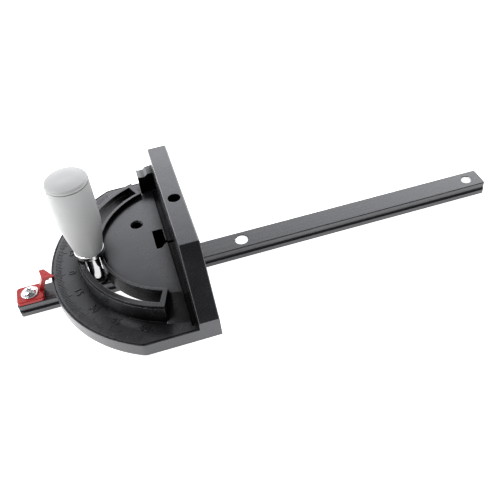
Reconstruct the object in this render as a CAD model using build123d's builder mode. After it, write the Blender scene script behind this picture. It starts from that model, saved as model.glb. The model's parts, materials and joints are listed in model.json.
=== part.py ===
from build123d import *

import math
import os

# Mitre gauge for a table saw: a grooved guide bar, a half-round protractor head with its fence,
# and a screw-down handle that clamps the head at the chosen angle.
# Millimetres. +X runs along the bar towards the blade end, +Y along the fence, +Z up.
# The origin is on the pivot's axis, in the plane of the bar's sole.

# Guide bar
BAR_WIDTH = 19.0
BAR_HEIGHT = 11.8
BAR_LEFT = -136.0
BAR_RIGHT = 264.0
BAR_CORNER = 2.2
BAR_EDGE = 0.5
GROOVE_RADIUS = 2.2
GROOVE_HEIGHT = 6.4
SPARE_HOLE_X = 48.0
SPARE_HOLE_RADIUS = 5.3
END_HOLE_X = 251.0
END_HOLE_RADIUS = 4.3
HOLE_EDGE = 0.45

# Protractor head, heights measured from the sole of the bar
PIVOT_GAP = 1.8
HEAD_BOTTOM = BAR_HEIGHT + PIVOT_GAP
PLATE_TOP = BAR_HEIGHT + 12.2
PLATEAU_TOP = BAR_HEIGHT + 23.3
RIM_TOP = BAR_HEIGHT + 26.7
SLOPE_LOW = BAR_HEIGHT + 18.5
FENCE_TOP = BAR_HEIGHT + 65.9
BASE_RADIUS = 105.3
BASE_HALF = 93.7
BASE_CORNER = 8.0
FENCE_BACK = -7.5
FENCE_FRONT = 7.7
FENCE_HALF_TOP = 61.6
FENCE_EDGE = 1.2
BEAD_WIDTH = 0.9
BEAD_DEPTH = 0.6
GUTTER_WIDTH = 4.2
GUTTER_DEPTH = 1.4
GUTTER_Y = (-88.0, 62.0)

# Arc slot and the rims beside it
STUD_X = -70.8
SLOT_HALF = 5.8
SLOT_INNER = -STUD_X - SLOT_HALF
SLOT_OUTER = -STUD_X + SLOT_HALF
SLOT_END = 67.3
RIM_END = 70.3
HUB_RADIUS = 62.6
RIM_OUTER = 80.6
WALL_TOP = 81.8
WALL_FOOT = 82.6
LIP_DROP = 1.7
WELL_INNER = SLOT_INNER
WELL_OUTER = 79.0
WELL_SHOULDER = RIM_TOP - 4.5
INNER_WALL_FOOT = BAR_HEIGHT + 12.0
INNER_WALL = 3.0
HUB_LAP = 0.4
RAMP_LAP = 2.0
RAMP_CREST = HUB_RADIUS + 1.4
RAMP_FOOT = WALL_FOOT + 1.5

# Shell walls and ribs under the head
SHELL = 3.8
FENCE_CELLS = ((22.0, 57.0), (60.5, 88.0))
FENCE_CELL_HALF = 3.8
FENCE_ROOF = 7.5
SKIRT = 3.5
RIB = 3.0
RIB_STEP = 30.0
BOSS_RADIUS = 26.0
RING_RIB_RADIUS = 38.0
BAND_INNER = 86.0
BAND_STEP = 15.0
BAND_END = 60.0

# Features on the head
PLATE_HOLE = (-31.3, 24.0)
PLATE_HOLE_RADIUS = 4.0
PLATE_HOLE_DEPTH = 13.0
PLATE_HOLE_SINK = 5.2
PLATE_HOLE_BOSS = 7.5
POST_BORE = (0.3, -9.1)
POST_BORE_RADIUS = 4.9
POST_BORE_DEPTH = 38.0
WINDOW_X = (-21.0, -12.6)
WINDOW_HALF = 11.0
WINDOW_CUT = 4.5
WINDOW_DEPTH = 13.0
CHANNEL_Y = (-6.5, -3.6)
LUG_Y = (68.5, 80.0)
LUG_LEFT = -20.5
LUG_FOOT = PLATE_TOP - 1.0
LUG_CREST = (
    (-12.2, BAR_HEIGHT + 37.4),
    (-14.6, BAR_HEIGHT + 35.4),
    (-17.5, BAR_HEIGHT + 35.2),
    (LUG_LEFT, BAR_HEIGHT + 36.0),
)
LUG_TOP = BAR_HEIGHT + 37.8

# Pivot
PIVOT_SCREW_RADIUS = 4.0
PIVOT_HEAD_RADIUS = 7.0
PIVOT_HEAD_BOTTOM = 0.3
PIVOT_HEAD_TOP = 3.4
PIVOT_SCREW_LENGTH = 14.0
PIVOT_HEAD_CLEARANCE = 0.3
HEX_SOCKET = (2.9, 2.2)
BUSH_RADIUS = 5.5
RUNNING_FIT = 0.05
WASHER_RADIUS = 9.2

# Handle, heights measured from the sole of the bar
CLAMP_WASHER = (RIM_TOP + 0.05, RIM_TOP + 1.65)
CLAMP_WASHER_RADIUS = 9.8
FERRULE_BOTTOM = CLAMP_WASHER[1] + 0.05
FERRULE_TOP = FERRULE_BOTTOM + 4.2
FERRULE_RADIUS = 11.6
GRIP_TOP = BAR_HEIGHT + 95.4
CAP_RIM = BAR_HEIGHT + 98.4
CAP_DOME = 1.4
CAP_CROWN = 8.0
CROWN_BLEND = 40.0
CAP_EDGE = 2.2
CAP_PARTING = (0.7, 0.6)
CAP_PLUG = (2.4, 2.2, 6.0)
GRIP_RADIUS = 15.9
GRIP_BEND = BAR_HEIGHT + 58.8
GRIP_BLEND = 50.0
GRIP_NECK = 11.1
CHAMBER_FLOOR = BAR_HEIGHT + 62.0
CHAMBER_RADIUS = 12.4
STUD_RADIUS = 5.2
STUD_THREAD = 4.0
STUD_SHOULDER = BAR_HEIGHT + 3.6
STUD_TOP = BAR_HEIGHT + 76.0
STUD_TIP = 1.2
GRIP_WASHER = (10.0, 1.8)
GRIP_NUT = (9.2, 8.0)
BAR_WASHER = (7.8, 2.0)

# Pointer
POINTER_SCREW_X = -124.9
POINTER_PLATE = (21.0, 18.0, 2.8)
POINTER_CORNER = 3.0
POINTER_NECK_Y = (-0.5, 6.0)
POINTER_NECK = (
    (-118.2, BAR_HEIGHT + 1.0),
    (-114.6, BAR_HEIGHT + 1.0),
    (-113.6, BAR_HEIGHT + 3.2),
    (-111.6, BAR_HEIGHT + 8.0),
    (-109.4, BAR_HEIGHT + 12.4),
    (-112.4, BAR_HEIGHT + 13.5),
    (-115.6, BAR_HEIGHT + 7.4),
)
ARROW_OUTLINE = ((-112.4, -0.5), (-102.7, -0.5), (-110.2, 10.8), (-114.3, 10.8))
ARROW_BODY_X = -107.0
ARROW_TOP = BAR_HEIGHT + 14.1
ARROW_THICK = 1.2
ARROW_CORNER = 0.8
ARROW_BODY = 2.4
POINTER_SCREW_RADIUS = 2.0
SCREW_FLANGE = (6.8, 1.0)
SCREW_DOME = (5.0, 3.9)
SCREW_SHOULDER = 1.0
SCREW_TIP = 3.0
CROSS_RECESS = (6.4, 1.3, 2.4)

FAR = 400.0


def half_plane(angle):
    """The plane through the pivot's axis at this angle about it: local X is the radius, local Y is up."""
    c = math.cos(math.radians(angle))
    s = math.sin(math.radians(angle))
    return Plane(origin=(0, 0, 0), x_dir=(c, s, 0), z_dir=(s, -c, 0))


def section(*points):
    """A closed polygon in the current sketch, at its own coordinates."""
    return Polygon(*points, align=None)


def fence_height(y):
    """Height of the fence's outline at this distance from its middle."""
    slope = (FENCE_TOP - SLOPE_LOW) / (BASE_HALF - FENCE_HALF_TOP)
    return FENCE_TOP - slope * max(0.0, y - FENCE_HALF_TOP)


def dome_half_way(radius, rise):
    """Height of a spherical dome above its rim, half-way between its axis and its rim."""
    ball = (radius**2 + rise**2) / (2 * rise)
    return rise - ball + math.sqrt(ball**2 - radius**2 / 4)


# The arc slot is centred on the side away from the blade, at 180 degrees about the pivot.
with BuildPart() as guide_bar:
    with BuildSketch(Plane.XY):
        with Locations(((BAR_LEFT + BAR_RIGHT) / 2, 0)):
            RectangleRounded(BAR_RIGHT - BAR_LEFT, BAR_WIDTH, BAR_CORNER)
    extrude(amount=BAR_HEIGHT)
    bar_rims = guide_bar.faces().filter_by(Axis.Z).edges()
    chamfer(bar_rims, length=BAR_EDGE)
    with BuildSketch(Plane.YZ.offset(BAR_LEFT)):
        with Locations((-BAR_WIDTH / 2, GROOVE_HEIGHT), (BAR_WIDTH / 2, GROOVE_HEIGHT)):
            Circle(GROOVE_RADIUS)
    extrude(amount=BAR_RIGHT - BAR_LEFT, mode=Mode.SUBTRACT)
    with Locations((SPARE_HOLE_X, 0, BAR_HEIGHT)):
        CounterSinkHole(SPARE_HOLE_RADIUS, SPARE_HOLE_RADIUS + HOLE_EDGE)
    with Locations((END_HOLE_X, 0, BAR_HEIGHT)):
        CounterSinkHole(END_HOLE_RADIUS, END_HOLE_RADIUS + HOLE_EDGE)
    with Locations((0, 0, BAR_HEIGHT)):
        Hole(BUSH_RADIUS + RUNNING_FIT)
    with BuildSketch(Plane.XY):
        Circle(PIVOT_HEAD_RADIUS + PIVOT_HEAD_CLEARANCE)
    extrude(amount=PIVOT_HEAD_TOP + PIVOT_HEAD_CLEARANCE, mode=Mode.SUBTRACT)
    with Locations((STUD_X, 0, BAR_HEIGHT)):
        Hole(STUD_THREAD + RUNNING_FIT)
    with Locations((POINTER_SCREW_X, 0, BAR_HEIGHT)):
        Hole(POINTER_SCREW_RADIUS)
guide_bar.part.label = "guide_bar"

with BuildPart() as protractor_head:
    # Fence
    with BuildSketch(Plane.YZ.offset(FENCE_BACK)):
        section(
            (-BASE_HALF, HEAD_BOTTOM),
            (BASE_HALF, HEAD_BOTTOM),
            (BASE_HALF, SLOPE_LOW),
            (FENCE_HALF_TOP, FENCE_TOP),
            (-FENCE_HALF_TOP, FENCE_TOP),
            (-BASE_HALF, SLOPE_LOW),
        )
    extrude(amount=FENCE_FRONT - FENCE_BACK)
    upper_edges = [e for e in protractor_head.edges() if e.center().Z > (SLOPE_LOW + FENCE_TOP) / 2 - 1]
    fence_rim = [e for e in upper_edges if abs(e.tangent_at(0.5).X) < 0.5]
    fillet(fence_rim, radius=FENCE_EDGE)

    # Half-round base plate
    with BuildSketch(Plane.XY.offset(HEAD_BOTTOM)):
        Circle(BASE_RADIUS)
        with Locations((FENCE_FRONT - FAR / 2, 0)):
            Rectangle(FAR, 2 * BASE_HALF, mode=Mode.INTERSECT)
        base_corners = vertices().sort_by(Axis.X)[0:2]
        fillet(base_corners, radius=BASE_CORNER)
    extrude(amount=PLATE_TOP - HEAD_BOTTOM)

    # Raised hub, and the ramps beside the fence where the rims end
    with BuildSketch(Plane.XY.offset(HEAD_BOTTOM)):
        Circle(HUB_RADIUS + HUB_LAP)
        with Locations((-FAR / 2, 0)):
            Rectangle(FAR, FAR, mode=Mode.INTERSECT)
    extrude(amount=PLATEAU_TOP - HEAD_BOTTOM)
    for start in (180 + RIM_END, 90):
        with BuildSketch(half_plane(start)):
            section(
                (HUB_RADIUS - RAMP_LAP, HEAD_BOTTOM),
                (RAMP_FOOT, HEAD_BOTTOM),
                (RAMP_FOOT, PLATE_TOP),
                (RAMP_CREST, PLATEAU_TOP),
                (HUB_RADIUS - RAMP_LAP, PLATEAU_TOP),
            )
        revolve(axis=Axis.Z, revolution_arc=90 - RIM_END)

    # Rims that carry the clamp washer, with a lip outside
    with BuildSketch(half_plane(180 - RIM_END)):
        section(
            (HUB_RADIUS, HEAD_BOTTOM),
            (WALL_FOOT, HEAD_BOTTOM),
            (WALL_FOOT, PLATE_TOP),
            (WALL_TOP, RIM_TOP - LIP_DROP),
            (RIM_OUTER, RIM_TOP - LIP_DROP),
            (RIM_OUTER, RIM_TOP),
            (HUB_RADIUS, RIM_TOP),
        )
    revolve(axis=Axis.Z, revolution_arc=2 * RIM_END)

    # Lug behind the fence at its far end
    with BuildSketch(Plane.XZ.offset(-LUG_Y[1])):
        section(
            (LUG_LEFT, LUG_FOOT),
            (FENCE_BACK + 1, LUG_FOOT),
            (FENCE_BACK + 1, LUG_TOP),
            *LUG_CREST,
        )
    extrude(amount=LUG_Y[1] - LUG_Y[0])

    # The arc slot, wider below its rims, and the open space around the pivot boss
    with BuildSketch(half_plane(180 - SLOT_END)):
        section(
            (SLOT_INNER, RIM_TOP + 1),
            (SLOT_OUTER, RIM_TOP + 1),
            (SLOT_OUTER, WELL_SHOULDER),
            (WELL_OUTER, WELL_SHOULDER - 2.5),
            (WELL_OUTER, HEAD_BOTTOM - 1),
            (BOSS_RADIUS, HEAD_BOTTOM - 1),
            (BOSS_RADIUS, INNER_WALL_FOOT),
            (WELL_INNER, INNER_WALL_FOOT),
            (SLOT_INNER, WELL_SHOULDER),
        )
    revolve(axis=Axis.Z, revolution_arc=2 * SLOT_END, mode=Mode.SUBTRACT)

    # Cells under the hub, between radial ribs and one ring rib
    hub_cells = (
        (BOSS_RADIUS + RIB, RING_RIB_RADIUS - RIB / 2),
        (RING_RIB_RADIUS + RIB / 2, WELL_INNER - INNER_WALL),
    )
    for inner, outer in hub_cells:
        gap = math.degrees(RIB / inner)
        for start in (120, 150, 180, 210):
            with BuildSketch(half_plane(start + gap / 2)):
                section(
                    (inner, INNER_WALL_FOOT - 1),
                    (outer, INNER_WALL_FOOT - 1),
                    (outer, PLATEAU_TOP - SHELL),
                    (inner, PLATEAU_TOP - SHELL),
                )
            revolve(axis=Axis.Z, revolution_arc=RIB_STEP - gap, mode=Mode.SUBTRACT)

    # Cells under the scale band
    band_outer = BASE_RADIUS - SKIRT
    band_gap = math.degrees(RIB / BAND_INNER)
    for step in range(int(2 * BAND_END / BAND_STEP)):
        start = 180 - BAND_END + step * BAND_STEP
        with BuildSketch(half_plane(start + band_gap / 2)):
            section(
                (BAND_INNER, HEAD_BOTTOM - 1),
                (band_outer, HEAD_BOTTOM - 1),
                (band_outer, PLATE_TOP - SHELL),
                (BAND_INNER, PLATE_TOP - SHELL),
            )
        revolve(axis=Axis.Z, revolution_arc=BAND_STEP - band_gap, mode=Mode.SUBTRACT)

    # Cells inside the fence, open below
    with BuildSketch(Plane.YZ.offset((FENCE_FRONT + FENCE_BACK) / 2)):
        for near, far in FENCE_CELLS:
            for side in (-1, 1):
                section(
                    (side * near, HEAD_BOTTOM),
                    (side * far, HEAD_BOTTOM),
                    (side * far, fence_height(far) - FENCE_ROOF),
                    (side * near, fence_height(near) - FENCE_ROOF),
                )
    extrude(amount=FENCE_CELL_HALF, both=True, mode=Mode.SUBTRACT)

    # Bead groove that follows the outline of the scale band
    with BuildSketch(Plane.XY.offset(PLATE_TOP)):
        Circle(BASE_RADIUS)
        with Locations((FENCE_FRONT - FAR / 2, 0)):
            Rectangle(FAR, 2 * BASE_HALF, mode=Mode.INTERSECT)
        bead_corners = vertices().sort_by(Axis.X)[0:2]
        fillet(bead_corners, radius=BASE_CORNER)
        offset(amount=-BEAD_WIDTH, mode=Mode.REPLACE)
        offset(amount=-BEAD_WIDTH, mode=Mode.SUBTRACT)
        with Locations((FENCE_BACK - FAR / 2, 0)):
            Rectangle(FAR, FAR, mode=Mode.INTERSECT)
    extrude(amount=-BEAD_DEPTH, mode=Mode.SUBTRACT)

    # Shallow gutter along the foot of the fence
    with BuildSketch(Plane.YZ.offset(FENCE_BACK - GUTTER_WIDTH)):
        section(
            (GUTTER_Y[0], PLATE_TOP - GUTTER_DEPTH),
            (-RAMP_FOOT, PLATE_TOP - GUTTER_DEPTH),
            (-RAMP_CREST, PLATEAU_TOP - GUTTER_DEPTH),
            (GUTTER_Y[1], PLATEAU_TOP - GUTTER_DEPTH),
            (GUTTER_Y[1], PLATEAU_TOP + 1),
            (GUTTER_Y[0], PLATEAU_TOP + 1),
        )
    extrude(amount=GUTTER_WIDTH, mode=Mode.SUBTRACT)

    # Tapped hole in the hub with its boss, the window and its channel
    with BuildSketch(Plane.XY.offset(PLATEAU_TOP - PLATE_HOLE_DEPTH - 2)):
        with Locations(PLATE_HOLE):
            Circle(PLATE_HOLE_BOSS)
    extrude(amount=PLATE_HOLE_DEPTH)
    with Locations((*PLATE_HOLE, PLATEAU_TOP)):
        CounterSinkHole(PLATE_HOLE_RADIUS, PLATE_HOLE_SINK, depth=PLATE_HOLE_DEPTH)
    with BuildSketch(Plane.XY.offset(PLATEAU_TOP)):
        section(
            (WINDOW_X[0], -WINDOW_HALF),
            (WINDOW_X[1] - WINDOW_CUT, -WINDOW_HALF),
            (WINDOW_X[1], -WINDOW_HALF + WINDOW_CUT),
            (WINDOW_X[1], WINDOW_HALF - 1),
            (WINDOW_X[1] - 1, WINDOW_HALF),
            (WINDOW_X[0], WINDOW_HALF),
        )
        with Locations(((WINDOW_X[1] + FENCE_BACK) / 2, sum(CHANNEL_Y) / 2)):
            Rectangle(FENCE_BACK - WINDOW_X[1], CHANNEL_Y[1] - CHANNEL_Y[0])
    extrude(amount=-WINDOW_DEPTH, mode=Mode.SUBTRACT)

    # Socket in the top of the fence, and the pivot's tapped hole below
    with Locations((*POST_BORE, FENCE_TOP)):
        Hole(POST_BORE_RADIUS, depth=POST_BORE_DEPTH)
    with BuildSketch(Plane.XY.offset(HEAD_BOTTOM)):
        Circle(PIVOT_SCREW_RADIUS)
    extrude(amount=PIVOT_SCREW_LENGTH + 2, mode=Mode.SUBTRACT)
protractor_head.part.label = "protractor_head"

# Pivot: a screw from below clamps the bush to the head, and the bush turns in the bar.
with BuildPart() as pivot_screw:
    with BuildSketch(Plane.XZ):
        section(
            (0, PIVOT_HEAD_BOTTOM),
            (PIVOT_HEAD_RADIUS - 0.5, PIVOT_HEAD_BOTTOM),
            (PIVOT_HEAD_RADIUS, PIVOT_HEAD_BOTTOM + 0.5),
            (PIVOT_HEAD_RADIUS, PIVOT_HEAD_TOP),
            (PIVOT_SCREW_RADIUS, PIVOT_HEAD_TOP),
            (PIVOT_SCREW_RADIUS, HEAD_BOTTOM + PIVOT_SCREW_LENGTH - 1),
            (PIVOT_SCREW_RADIUS - 1, HEAD_BOTTOM + PIVOT_SCREW_LENGTH),
            (0, HEAD_BOTTOM + PIVOT_SCREW_LENGTH),
        )
    revolve(axis=Axis.Z)
    with BuildSketch(Plane.XY.offset(PIVOT_HEAD_BOTTOM)):
        RegularPolygon(radius=HEX_SOCKET[0], side_count=6)
    extrude(amount=HEX_SOCKET[1], mode=Mode.SUBTRACT)
pivot_screw.part.label = "pivot_screw"

with BuildPart() as pivot_bush:
    with BuildSketch(Plane.XY.offset(PIVOT_HEAD_TOP)):
        Circle(BUSH_RADIUS)
        Circle(PIVOT_SCREW_RADIUS, mode=Mode.SUBTRACT)
    extrude(amount=HEAD_BOTTOM - PIVOT_HEAD_TOP)
pivot_bush.part.label = "pivot_bush"

with BuildPart() as pivot_washer:
    with BuildSketch(Plane.XY.offset(BAR_HEIGHT)):
        Circle(WASHER_RADIUS)
        Circle(BUSH_RADIUS + RUNNING_FIT, mode=Mode.SUBTRACT)
    extrude(amount=PIVOT_GAP - RUNNING_FIT)
pivot_washer.part.label = "pivot_washer"

# Handle: a chrome stud through the arc slot into the bar, in a tapered grip with a cap.
handle_plane = Plane(origin=(STUD_X, 0, 0), x_dir=(1, 0, 0), z_dir=(0, -1, 0))
handle_axis = Axis((STUD_X, 0, 0), (0, 0, 1))

with BuildPart() as handle_stud:
    with BuildSketch(handle_plane):
        section(
            (0, STUD_TIP),
            (STUD_THREAD - 0.8, STUD_TIP),
            (STUD_THREAD, STUD_TIP + 0.8),
            (STUD_THREAD, STUD_SHOULDER),
            (STUD_RADIUS, STUD_SHOULDER),
            (STUD_RADIUS, STUD_TOP - 1),
            (STUD_RADIUS - 1, STUD_TOP),
            (0, STUD_TOP),
        )
    revolve(axis=handle_axis)
handle_stud.part.label = "handle_stud"

with BuildPart() as handle_ferrule:
    with BuildSketch(handle_plane):
        section(
            (STUD_RADIUS, FERRULE_BOTTOM),
            (FERRULE_RADIUS, FERRULE_BOTTOM),
            (FERRULE_RADIUS, FERRULE_TOP),
            (STUD_RADIUS, FERRULE_TOP),
        )
        ferrule_edge = vertices().group_by(Axis.X)[-1]
        fillet(ferrule_edge, radius=0.8)
    revolve(axis=handle_axis)
handle_ferrule.part.label = "handle_ferrule"

with BuildPart() as handle_grip:
    with BuildSketch(handle_plane):
        section(
            (STUD_RADIUS, FERRULE_TOP),
            (GRIP_NECK, FERRULE_TOP),
            (GRIP_RADIUS - 0.1, GRIP_BEND),
            (GRIP_RADIUS, GRIP_TOP),
            (CHAMBER_RADIUS, GRIP_TOP),
            (CHAMBER_RADIUS, CHAMBER_FLOOR),
            (STUD_RADIUS, CHAMBER_FLOOR),
        )
        grip_bend = [v for v in vertices() if abs(v.Y - GRIP_BEND) < 0.01]
        fillet(grip_bend, radius=GRIP_BLEND)
    revolve(axis=handle_axis)
handle_grip.part.label = "handle_grip"

cap_seam = (GRIP_RADIUS - CAP_PARTING[0], GRIP_TOP + CAP_PARTING[1])
plug_inner = CHAMBER_RADIUS - CAP_PLUG[0]
with BuildPart() as handle_cap:
    with BuildSketch(handle_plane):
        section(
            (0, GRIP_TOP - CAP_PLUG[1]),
            (plug_inner, GRIP_TOP - CAP_PLUG[1]),
            (plug_inner, GRIP_TOP - CAP_PLUG[2]),
            (CHAMBER_RADIUS, GRIP_TOP - CAP_PLUG[2]),
            (CHAMBER_RADIUS, GRIP_TOP),
            (cap_seam[0], GRIP_TOP),
            cap_seam,
            (GRIP_RADIUS, cap_seam[1]),
            (GRIP_RADIUS, CAP_RIM),
            (CAP_CROWN, CAP_RIM + CAP_DOME),
            (0, CAP_RIM + CAP_DOME),
        )
        cap_edge = [v for v in vertices() if abs(v.Y - CAP_RIM) < 0.01]
        fillet(cap_edge, radius=CAP_EDGE)
        crown_edge = [v for v in vertices() if abs(v.Y - CAP_RIM - CAP_DOME) < 0.01 and v.X > 1]
        fillet(crown_edge, radius=CROWN_BLEND)
    revolve(axis=handle_axis)
handle_cap.part.label = "handle_cap"

with BuildPart() as grip_washer:
    with BuildSketch(Plane.XY.offset(CHAMBER_FLOOR)):
        with Locations((STUD_X, 0)):
            Circle(GRIP_WASHER[0])
            Circle(STUD_RADIUS, mode=Mode.SUBTRACT)
    extrude(amount=GRIP_WASHER[1])
grip_washer.part.label = "grip_washer"

with BuildPart() as grip_nut:
    with BuildSketch(Plane.XY.offset(CHAMBER_FLOOR + GRIP_WASHER[1])):
        with Locations((STUD_X, 0)):
            RegularPolygon(radius=GRIP_NUT[0], side_count=6)
            Circle(STUD_RADIUS, mode=Mode.SUBTRACT)
    extrude(amount=GRIP_NUT[1])
grip_nut.part.label = "grip_nut"

with BuildPart() as clamp_washer:
    with BuildSketch(Plane.XY.offset(CLAMP_WASHER[0])):
        with Locations((STUD_X, 0)):
            Circle(CLAMP_WASHER_RADIUS)
            Circle(STUD_RADIUS + RUNNING_FIT, mode=Mode.SUBTRACT)
    extrude(amount=CLAMP_WASHER[1] - CLAMP_WASHER[0])
    chamfer(clamp_washer.edges().filter_by(GeomType.CIRCLE).group_by(SortBy.RADIUS)[-1], length=0.3)
clamp_washer.part.label = "clamp_washer"

with BuildPart() as bar_washer:
    with BuildSketch(Plane.XY.offset(BAR_HEIGHT)):
        with Locations((STUD_X, 0)):
            Circle(BAR_WASHER[0])
            Circle(STUD_THREAD + 0.5, mode=Mode.SUBTRACT)
    extrude(amount=BAR_WASHER[1])
    chamfer(bar_washer.faces().sort_by(Axis.Z)[-1].edges(), length=0.3)
bar_washer.part.label = "bar_washer"

# Pointer at the end of the bar: plate, neck and a half arrow whose straight edge reads the scale
plate_length, plate_width, plate_thick = POINTER_PLATE
POINTER_BOTTOM = BAR_HEIGHT + RUNNING_FIT
plate_top = POINTER_BOTTOM + plate_thick
with BuildPart() as pointer:
    with BuildSketch(Plane.XY.offset(POINTER_BOTTOM)):
        with Locations((POINTER_SCREW_X, 0)):
            RectangleRounded(plate_length, plate_width, POINTER_CORNER)
    extrude(amount=plate_thick)
    chamfer(pointer.faces().sort_by(Axis.Z)[-1].edges(), length=0.5)
    with BuildSketch(Plane.XZ.offset(-POINTER_NECK_Y[1])):
        section(*POINTER_NECK)
    extrude(amount=POINTER_NECK_Y[1] - POINTER_NECK_Y[0])
    with BuildSketch(Plane.XY.offset(ARROW_TOP)):
        section(*ARROW_OUTLINE)
        arrow_corners = vertices().sort_by(Axis.Y)[-2:]
        fillet(arrow_corners, radius=ARROW_CORNER)
    extrude(amount=-ARROW_THICK)
    with BuildSketch(Plane.XY.offset(ARROW_TOP)):
        section(*ARROW_OUTLINE)
        body_corners = vertices().sort_by(Axis.Y)[-2:]
        fillet(body_corners, radius=ARROW_CORNER)
        with Locations((ARROW_BODY_X - FAR / 2, 0)):
            Rectangle(FAR, FAR, mode=Mode.INTERSECT)
    extrude(amount=-ARROW_BODY)
    with Locations((POINTER_SCREW_X, 0, plate_top)):
        Hole(POINTER_SCREW_RADIUS + RUNNING_FIT)
pointer.part.label = "pointer"

screw_seat = plate_top + RUNNING_FIT
flange_top = screw_seat + SCREW_FLANGE[1]
dome_top = screw_seat + SCREW_DOME[1]
dome_foot = flange_top + SCREW_SHOULDER
with BuildPart() as pointer_screw:
    with BuildSketch(Plane(origin=(POINTER_SCREW_X, 0, 0), x_dir=(1, 0, 0), z_dir=(0, -1, 0))):
        with BuildLine():
            Polyline(
                (0, dome_top),
                (0, SCREW_TIP),
                (POINTER_SCREW_RADIUS - 0.6, SCREW_TIP),
                (POINTER_SCREW_RADIUS, SCREW_TIP + 0.6),
                (POINTER_SCREW_RADIUS, screw_seat),
                (SCREW_FLANGE[0], screw_seat),
                (SCREW_FLANGE[0], flange_top - 0.3),
                (SCREW_FLANGE[0] - 0.4, flange_top),
                (SCREW_DOME[0], flange_top),
                (SCREW_DOME[0], dome_foot),
            )
            ThreePointArc(
                (SCREW_DOME[0], dome_foot),
                (SCREW_DOME[0] / 2, dome_foot + dome_half_way(SCREW_DOME[0], dome_top - dome_foot)),
                (0, dome_top),
            )
        make_face()
    revolve(axis=Axis((POINTER_SCREW_X, 0, 0), (0, 0, 1)))
    with BuildSketch(Plane.XY.offset(dome_top + 0.4)):
        with Locations(Location((POINTER_SCREW_X, 0, 0), 25)):
            Rectangle(CROSS_RECESS[0], CROSS_RECESS[1])
            Rectangle(CROSS_RECESS[1], CROSS_RECESS[0])
    extrude(amount=-CROSS_RECESS[2], mode=Mode.SUBTRACT, taper=8)
pointer_screw.part.label = "pointer_screw"

os.makedirs("parts", exist_ok=True)
pieces = (
    guide_bar,
    protractor_head,
    pivot_screw,
    pivot_bush,
    pivot_washer,
    handle_stud,
    handle_ferrule,
    handle_grip,
    handle_cap,
    grip_washer,
    grip_nut,
    clamp_washer,
    bar_washer,
    pointer,
    pointer_screw,
)
for piece in pieces:
    export_step(piece.part, f"parts/{piece.part.label}.step")
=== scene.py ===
import json
import math

import bpy
from mathutils import Matrix, Quaternion, Vector


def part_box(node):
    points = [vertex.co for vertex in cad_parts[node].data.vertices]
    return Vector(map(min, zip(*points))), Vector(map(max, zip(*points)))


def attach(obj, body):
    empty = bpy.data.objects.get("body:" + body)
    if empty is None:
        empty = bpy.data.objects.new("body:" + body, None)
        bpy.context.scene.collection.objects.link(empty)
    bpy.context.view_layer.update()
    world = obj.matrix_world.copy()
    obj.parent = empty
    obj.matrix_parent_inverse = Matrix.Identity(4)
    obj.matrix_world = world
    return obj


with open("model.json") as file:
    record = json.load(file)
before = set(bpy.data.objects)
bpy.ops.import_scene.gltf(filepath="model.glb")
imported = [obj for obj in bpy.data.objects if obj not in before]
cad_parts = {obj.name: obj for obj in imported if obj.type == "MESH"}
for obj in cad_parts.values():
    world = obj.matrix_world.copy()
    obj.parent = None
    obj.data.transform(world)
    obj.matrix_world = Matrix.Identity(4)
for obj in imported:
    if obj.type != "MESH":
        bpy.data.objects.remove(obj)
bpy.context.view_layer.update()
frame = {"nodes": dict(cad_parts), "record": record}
nodes = frame["nodes"]

MM = 0.001

# Heights, in metres. The bar's top comes from its CAD node.
BAR_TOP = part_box("guide_bar")[1].z
PLATE_RISE = 12.2 * MM
PLATE_TOP = BAR_TOP + PLATE_RISE

# The bar's two through holes: places along X, with radii that reach just into the wall
BAR_HOLES = ((48 * MM, 5.35 * MM), (251 * MM, 4.35 * MM))

# Scale on the head, in degrees and metres
SCALE_END = 60
NUMERAL_STEP = 15
MIDDLE_STEP = 5
TICK_RIM = 101.6 * MM
TICK_LONG = 7.4 * MM
TICK_MIDDLE = 6.0 * MM
TICK_SHORT = 4.4 * MM
TICK_WIDTH = 0.42 * MM
TICK_HEIGHT = 0.25 * MM
TICK_SINK = 0.1 * MM
NUMERAL_SIZE = 8.0 * MM
NUMERAL_HEIGHT = 0.4 * MM
NUMERAL_RADIUS = 89.5 * MM

# Colours. A pair is the darker and the paler tone of a mottled surface.
HEAD_TONES = ((0.0018, 0.0018, 0.0022), (0.0045, 0.0045, 0.005))
# Paler edge tone of the head: rub wear and a painted edge highlight
HEAD_EDGE_WEAR_AND_HIGHLIGHT = (0.06, 0.06, 0.065)
HEAD_SHEEN = (0.94, 0.95, 1.0)
BAR_COAT = (0.004, 0.004, 0.0045)
# Paler edge tone of the bar: rub wear and a painted edge highlight
BAR_EDGE_WEAR_AND_HIGHLIGHT = (0.1, 0.1, 0.105)
BAR_SHEEN = (0.95, 0.96, 1.0)
BARE_METAL = (0.93, 0.93, 0.93)
GRIP_TONES = ((0.36, 0.362, 0.363), (0.388, 0.39, 0.391))
CHROME_TONES = ((0.64, 0.64, 0.65), (0.72, 0.72, 0.73))
STEEL_TONES = ((0.48, 0.48, 0.49), (0.62, 0.62, 0.63))
WASHER_TONES = ((0.012, 0.012, 0.013), (0.025, 0.025, 0.026))
POINTER_TONES = ((0.3, 0.007, 0.009), (0.37, 0.014, 0.013))

# Surfaces: the bend that still shades as smooth, and the radii that edges seem to have
SMOOTH_BEND = math.radians(25)
MOULDED_EDGE = 0.4 * MM
POINTER_EDGE = 0.3 * MM
METAL_EDGE = 0.2 * MM
# Width of the paler edges: rub wear and a painted edge highlight
WEAR_AND_HIGHLIGHT_WIDTH = 0.5 * MM
# Reach of the painted corner shade that dims the head's sheen
CORNER_SHADE_REACH = 18 * MM

# Camera: the photograph's angle, in the frame's metres
CAMERA_PLACE = Vector((-0.02848, -0.41929, 0.39582))
CAMERA_AIM = Vector((0.05502, -0.01602, BAR_TOP))
CAMERA_ROLL = math.radians(-7.06)
CAMERA_LENS = 50.16
CAMERA_SENSOR = 36
CAMERA_SHIFT = (-0.0105, -0.0008)

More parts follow.
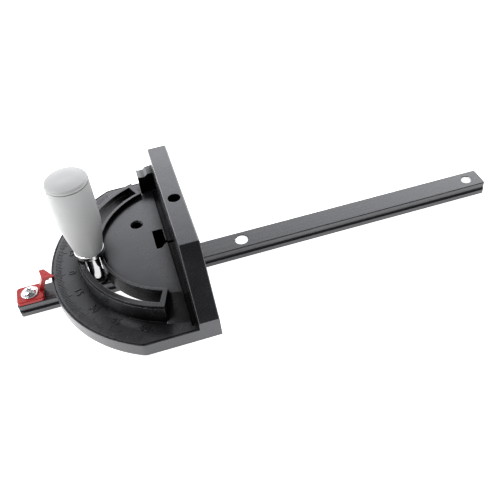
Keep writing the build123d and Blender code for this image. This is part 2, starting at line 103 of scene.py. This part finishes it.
# Stage
FLOOR_HALF = 6
FLOOR_DROP = 0.2 * MM
FLOOR_GLOW = 1.1
KEY_PLACE = Vector((-0.85, 0.1, 1.2))
KEY_SIZE = 0.6
KEY_POWER = 16

# Surround: each glow runs from its first to its second value over a range of the view direction
SKY_TINT = (0.97, 0.98, 1.0)
FAR_RANGE = (-0.15, 0.3)
FAR_GLOW = (3.5, 0.2)
FAR_HEIGHTS = (0.54, 0.74)
NEAR_GLOW = (1.0, 0.15)
NEAR_HEIGHTS = (0.08, 0.3)
SIDE_GLOW = (0.75, 1.18)
SIDE_RANGE = (-0.2, 0.25)


# Shader pieces

def new_material(name, colour, roughness, metallic=0.0, specular=0.5):
    """A Principled material with its all-over values on the shader's own sockets."""
    material = bpy.data.materials.new(name)
    material.use_nodes = True
    shader = material.node_tree.nodes["Principled BSDF"]
    shader.inputs["Base Color"].default_value = (*colour, 1)
    shader.inputs["Roughness"].default_value = roughness
    shader.inputs["Metallic"].default_value = metallic
    shader.inputs["Specular IOR Level"].default_value = specular
    return material, material.node_tree, shader


def noise(tree, scale, detail=3, stretch=(1, 1, 1)):
    """Noise in the object's own space, with its grain stretched along an axis when asked."""
    place = tree.nodes.new("ShaderNodeTexCoord")
    mapping = tree.nodes.new("ShaderNodeMapping")
    mapping.inputs["Scale"].default_value = stretch
    texture = tree.nodes.new("ShaderNodeTexNoise")
    texture.inputs["Scale"].default_value = scale
    texture.inputs["Detail"].default_value = detail
    texture.inputs["Roughness"].default_value = 0.55
    tree.links.new(place.outputs["Object"], mapping.inputs["Vector"])
    tree.links.new(mapping.outputs["Vector"], texture.inputs["Vector"])
    return texture.outputs["Fac"]


def remap(tree, value, low, high, start=0.3, end=0.7):
    """Maps a value from start..end to low..high. Noise fills about 0.3 to 0.7."""
    node = tree.nodes.new("ShaderNodeMapRange")
    node.inputs["From Min"].default_value = start
    node.inputs["From Max"].default_value = end
    node.inputs["To Min"].default_value = low
    node.inputs["To Max"].default_value = high
    tree.links.new(value, node.inputs["Value"])
    return node.outputs["Result"]


def combine(tree, operation, first, second):
    """Joins two values by a sum, product or other plain operation."""
    node = tree.nodes.new("ShaderNodeMath")
    node.operation = operation
    tree.links.new(first, node.inputs[0])
    tree.links.new(second, node.inputs[1])
    return node.outputs["Value"]


def blend_colours(tree, factor, first, second):
    """Mixes towards the second colour by a value. The first is a colour or another node's output."""
    node = tree.nodes.new("ShaderNodeMix")
    node.data_type = "RGBA"
    if isinstance(first, tuple):
        node.inputs["A"].default_value = (*first, 1)
    else:
        tree.links.new(first, node.inputs["A"])
    node.inputs["B"].default_value = (*second, 1)
    tree.links.new(factor, node.inputs["Factor"])
    return node.outputs["Result"]


def mottle(tree, shader, grain, tones):
    """Lets the colour drift between two tones."""
    tone = blend_colours(tree, remap(tree, grain, 0, 1), *tones)
    tree.links.new(tone, shader.inputs["Base Color"])


def vary_gloss(tree, shader, grain, low, high):
    """Lets the roughness drift between two values."""
    tree.links.new(remap(tree, grain, low, high), shader.inputs["Roughness"])


def rounded_normal(tree, radius):
    """Surface normal that turns softly at the edges, as on a real radius."""
    node = tree.nodes.new("ShaderNodeBevel")
    node.samples = 6
    node.inputs["Radius"].default_value = radius
    return node.outputs["Normal"]


def bump(tree, shader, height, distance, edge=MOULDED_EDGE):
    """Drives the shader's normal with a height value, over soft edges."""
    node = tree.nodes.new("ShaderNodeBump")
    node.inputs["Strength"].default_value = 1
    node.inputs["Distance"].default_value = distance
    tree.links.new(height, node.inputs["Height"])
    tree.links.new(rounded_normal(tree, edge), node.inputs["Normal"])
    tree.links.new(node.outputs["Normal"], shader.inputs["Normal"])


def edge_wear(tree, amount):
    """Up to this amount along the edges, broken up by noise, and none on the flats: rub wear and a painted
    edge highlight.
    """
    geometry = tree.nodes.new("ShaderNodeNewGeometry")
    compare = tree.nodes.new("ShaderNodeVectorMath")
    compare.operation = "DOT_PRODUCT"
    tree.links.new(rounded_normal(tree, WEAR_AND_HIGHLIGHT_WIDTH), compare.inputs[0])
    tree.links.new(geometry.outputs["Normal"], compare.inputs[1])
    edges = remap(tree, compare.outputs["Value"], 1, 0, start=0.9, end=0.995)
    breaks = remap(tree, noise(tree, scale=240, detail=4), 0, amount, start=0.4, end=0.6)
    return combine(tree, "MULTIPLY", edges, breaks)


def dull_corners(tree, shader, low, high):
    """Less sheen in the corners and slots: painted shade, from ambient occlusion dimming the specular level.
    """
    node = tree.nodes.new("ShaderNodeAmbientOcclusion")
    node.samples = 8
    node.inputs["Distance"].default_value = CORNER_SHADE_REACH
    sheen = remap(tree, node.outputs["AO"], low, high, start=0.5, end=0.93)
    tree.links.new(sheen, shader.inputs["Specular IOR Level"])


def inside_hole(tree, x, radius):
    """One inside an upright hole at this place along X, and zero elsewhere."""
    place = tree.nodes.new("ShaderNodeTexCoord")
    flat = tree.nodes.new("ShaderNodeMapping")
    flat.inputs["Location"].default_value = (-x, 0, 0)
    flat.inputs["Scale"].default_value = (1, 1, 0)
    length = tree.nodes.new("ShaderNodeVectorMath")
    length.operation = "LENGTH"
    inside = tree.nodes.new("ShaderNodeMath")
    inside.operation = "LESS_THAN"
    inside.inputs[1].default_value = radius
    tree.links.new(place.outputs["Object"], flat.inputs["Vector"])
    tree.links.new(flat.outputs["Vector"], length.inputs[0])
    tree.links.new(length.outputs["Value"], inside.inputs[0])
    return inside.outputs["Value"]


# Materials

def black_head():
    """Black moulded head: satin skin with a fine pebble, uneven gloss, edges paler from rub wear and a
    painted edge highlight, and painted shade dimming the sheen in corners.
    """
    material, tree, shader = new_material("head_black", (0.003, 0.003, 0.0035), 0.26, specular=1.0)
    shader.inputs["Specular Tint"].default_value = (*HEAD_SHEEN, 1)
    skin = blend_colours(tree, remap(tree, noise(tree, scale=35), 0, 1), *HEAD_TONES)
    # Edges paler: rub wear and a painted edge highlight
    worn_and_highlighted = blend_colours(tree, edge_wear(tree, 0.6), skin, HEAD_EDGE_WEAR_AND_HIGHLIGHT)
    tree.links.new(worn_and_highlighted, shader.inputs["Base Color"])
    vary_gloss(tree, shader, noise(tree, scale=60, detail=5), 0.2, 0.3)
    # Painted shade: sheen dimmed in corners and slots
    dull_corners(tree, shader, 0.03, 0.88)
    pebble = noise(tree, scale=2200, detail=2)
    waves = remap(tree, noise(tree, scale=160), 0, 0.6)
    bump(tree, shader, combine(tree, "ADD", pebble, waves), 0.02 * MM)
    return material


def black_bar():
    """Painted steel bar: drawn grain under a satin black coat, edges paler from wear and a painted edge
    highlight, bare bright metal in its holes.
    """
    material, tree, shader = new_material("bar_black", (0.005, 0.005, 0.0055), 0.28, specular=1.0)
    shader.inputs["Specular Tint"].default_value = (*BAR_SHEEN, 1)
    # Edges paler: wear and a painted edge highlight
    coat = blend_colours(tree, edge_wear(tree, 0.8), BAR_COAT, BAR_EDGE_WEAR_AND_HIGHLIGHT)
    bare = combine(tree, "MAXIMUM", *[inside_hole(tree, x, radius) for x, radius in BAR_HOLES])
    tree.links.new(blend_colours(tree, bare, coat, BARE_METAL), shader.inputs["Base Color"])
    tree.links.new(bare, shader.inputs["Metallic"])
    grain = noise(tree, scale=420, detail=4, stretch=(0.03, 1, 1))
    vary_gloss(tree, shader, grain, 0.22, 0.32)
    pebble = remap(tree, noise(tree, scale=1800, detail=2), 0, 0.5)
    bump(tree, shader, combine(tree, "ADD", grain, pebble), 0.02 * MM)
    return material


def grey_grip():
    """Moulded grey plastic, faintly mottled."""
    material, tree, shader = new_material("grip_grey", (0.37, 0.372, 0.375), 0.4)
    mottle(tree, shader, noise(tree, scale=90, detail=4), GRIP_TONES)
    vary_gloss(tree, shader, noise(tree, scale=140, detail=4), 0.36, 0.48)
    bump(tree, shader, noise(tree, scale=2600, detail=2), 0.012 * MM)
    return material


def chrome():
    """Bright plating with faint smears and turning marks."""
    material, tree, shader = new_material("chrome", (0.7, 0.7, 0.71), 0.14, metallic=1.0)
    mottle(tree, shader, noise(tree, scale=120), CHROME_TONES)
    vary_gloss(tree, shader, noise(tree, scale=300, detail=4), 0.1, 0.2)
    bump(tree, shader, noise(tree, scale=500, detail=2, stretch=(1, 1, 8)), 0.006 * MM, METAL_EDGE)
    return material


def plain_steel():
    """Machined steel of the hidden fasteners."""
    material, tree, shader = new_material("steel", (0.55, 0.55, 0.56), 0.35, metallic=1.0)
    mottle(tree, shader, noise(tree, scale=150, detail=4), STEEL_TONES)
    vary_gloss(tree, shader, noise(tree, scale=500, detail=4), 0.28, 0.44)
    bump(tree, shader, noise(tree, scale=900, stretch=(1, 1, 6)), 0.02 * MM, METAL_EDGE)
    return material


def black_washer():
    """Blackened steel washers."""
    material, tree, shader = new_material("washer_black", (0.015, 0.015, 0.016), 0.35, specular=0.8)
    mottle(tree, shader, noise(tree, scale=200), WASHER_TONES)
    vary_gloss(tree, shader, noise(tree, scale=400, detail=4), 0.28, 0.42)
    bump(tree, shader, noise(tree, scale=1500, detail=2), 0.02 * MM, METAL_EDGE)
    return material


def red_pointer():
    """Glossy red moulding."""
    material, tree, shader = new_material("pointer_red", (0.33, 0.01, 0.01), 0.3, specular=0.4)
    mottle(tree, shader, noise(tree, scale=180), POINTER_TONES)
    vary_gloss(tree, shader, noise(tree, scale=240, detail=4), 0.24, 0.36)
    bump(tree, shader, noise(tree, scale=2400, detail=2), 0.01 * MM, POINTER_EDGE)
    return material


finishes = {
    "head_black": black_head(),
    "bar_black": black_bar(),
    "grip_grey": grey_grip(),
    "chrome": chrome(),
    "steel": plain_steel(),
    "washer_black": black_washer(),
    "pointer_red": red_pointer(),
}


def paint(piece, slot):
    """Gives a piece one of the finishes above."""
    piece.data.materials.clear()
    piece.data.materials.append(finishes[slot])


slot_of = {entry["node"]: entry["material_slot"] for entry in frame["record"]["subparts"]}
for name, node in nodes.items():
    paint(node, slot_of[name])
    node.data.shade_smooth()
    node.data.set_sharp_from_angle(angle=SMOOTH_BEND)


# Scale on the head: a raised mark for every degree and a numeral every 15 degrees

def raised_piece(name, corners, faces):
    """A piece of the head's raised scale."""
    mesh = bpy.data.meshes.new(name)
    mesh.from_pydata(corners, [], faces)
    piece = bpy.data.objects.new(name, mesh)
    bpy.context.scene.collection.objects.link(piece)
    paint(piece, "head_black")
    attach(piece, "head")


def tick_length(degree):
    """Longest at the numerals, and longer at every fifth degree."""
    if degree % NUMERAL_STEP == 0:
        return TICK_LONG
    if degree % MIDDLE_STEP == 0:
        return TICK_MIDDLE
    return TICK_SHORT


def scale_ticks():
    """One piece with a tick for every degree along the rim, each a small bar sunk into the plate."""
    corners = []
    faces = []
    for degree in range(-SCALE_END, SCALE_END + 1):
        foot = TICK_RIM - tick_length(degree)
        out = Vector((-math.cos(math.radians(degree)), math.sin(math.radians(degree)), 0))
        side = Vector((-out.y, out.x, 0)) * TICK_WIDTH / 2
        start = len(corners)
        for height in (PLATE_TOP - TICK_SINK, PLATE_TOP + TICK_HEIGHT):
            up = Vector((0, 0, height))
            for radius, turn in ((foot, -1), (TICK_RIM, -1), (TICK_RIM, 1), (foot, 1)):
                corners.append(out * radius + side * turn + up)
        for face in ((4, 5, 6, 7), (3, 2, 1, 0), (0, 1, 5, 4), (1, 2, 6, 5), (2, 3, 7, 6), (3, 0, 4, 7)):
            faces.append([start + corner for corner in face])
    raised_piece("scale_ticks", corners, faces)


def scale_numeral(degree):
    """A raised numeral whose top points at the pivot."""
    text = bpy.data.curves.new("numeral", "FONT")
    text.body = str(abs(degree))
    text.size = NUMERAL_SIZE
    text.extrude = NUMERAL_HEIGHT
    text.align_x = "CENTER"
    text.align_y = "CENTER"
    letters = bpy.data.objects.new("numeral", text)
    bpy.context.scene.collection.objects.link(letters)
    shape = bpy.data.meshes.new_from_object(letters.evaluated_get(bpy.context.evaluated_depsgraph_get()))
    turn = Matrix.Rotation(math.radians(-90 - degree), 4, "Z")
    place = turn @ Matrix.Translation((0, -NUMERAL_RADIUS, PLATE_TOP))
    corners = [place @ vertex.co for vertex in shape.vertices]
    faces = [list(polygon.vertices) for polygon in shape.polygons]
    bpy.data.objects.remove(letters)
    bpy.data.meshes.remove(shape)
    side = "near" if degree < 0 else "far"
    raised_piece(f"numeral_{side}_{abs(degree)}", corners, faces)


scale_ticks()
for degree in range(-SCALE_END, SCALE_END + 1, NUMERAL_STEP):
    scale_numeral(degree)


# Camera and stage: a pale floor, a bright surround beyond the object and a soft key light above

def photo_camera():
    """The camera at the photograph's angle."""
    data = bpy.data.cameras.new("camera")
    data.lens = CAMERA_LENS
    data.sensor_width = CAMERA_SENSOR
    data.shift_x, data.shift_y = CAMERA_SHIFT
    camera = bpy.data.objects.new("camera", data)
    bpy.context.scene.collection.objects.link(camera)
    aim = (CAMERA_AIM - CAMERA_PLACE).to_track_quat("-Z", "Y")
    camera.rotation_mode = "QUATERNION"
    camera.rotation_quaternion = aim @ Quaternion((0, 0, 1), CAMERA_ROLL)
    camera.location = CAMERA_PLACE
    bpy.context.scene.camera = camera


def pale_floor():
    """A large glowing floor just under the bar's sole."""
    near, far = -FLOOR_HALF, FLOOR_HALF
    mesh = bpy.data.meshes.new("floor")
    mesh.from_pydata([(near, near, 0), (far, near, 0), (far, far, 0), (near, far, 0)], [], [(0, 1, 2, 3)])
    floor = bpy.data.objects.new("floor", mesh)
    bpy.context.scene.collection.objects.link(floor)
    material, tree, shader = new_material("floor", (0.9, 0.9, 0.9), 0.9)
    shader.inputs["Emission Color"].default_value = (1, 1, 1, 1)
    shader.inputs["Emission Strength"].default_value = FLOOR_GLOW
    mesh.materials.append(material)
    floor.location.z = -FLOOR_DROP


def studio_world():
    """A surround that is bright low down beyond the object and on its right, and dim behind the camera."""
    world = bpy.data.worlds.new("studio")
    bpy.context.scene.world = world
    world.use_nodes = True
    tree = world.node_tree
    background = tree.nodes["Background"]
    background.inputs["Color"].default_value = (*SKY_TINT, 1)
    place = tree.nodes.new("ShaderNodeTexCoord")
    split = tree.nodes.new("ShaderNodeSeparateXYZ")
    tree.links.new(place.outputs["Generated"], split.inputs["Vector"])
    mix = tree.nodes.new("ShaderNodeMix")
    tree.links.new(remap(tree, split.outputs["Y"], 0, 1, *FAR_RANGE), mix.inputs["Factor"])
    tree.links.new(remap(tree, split.outputs["Z"], *NEAR_GLOW, *NEAR_HEIGHTS), mix.inputs["A"])
    tree.links.new(remap(tree, split.outputs["Z"], *FAR_GLOW, *FAR_HEIGHTS), mix.inputs["B"])
    side = remap(tree, split.outputs["X"], *SIDE_GLOW, *SIDE_RANGE)
    strength = combine(tree, "MULTIPLY", mix.outputs["Result"], side)
    tree.links.new(strength, background.inputs["Strength"])


def key_light():
    """A square soft box above and to the left, aimed at the pivot."""
    data = bpy.data.lights.new("key", "AREA")
    data.size = KEY_SIZE
    data.energy = KEY_POWER
    lamp = bpy.data.objects.new("key", data)
    lamp.location = KEY_PLACE
    lamp.rotation_euler = (-KEY_PLACE).to_track_quat("-Z", "Y").to_euler()
    bpy.context.scene.collection.objects.link(lamp)


photo_camera()
pale_floor()
studio_world()
key_light()

bpy.context.scene.view_settings.view_transform = "Standard"
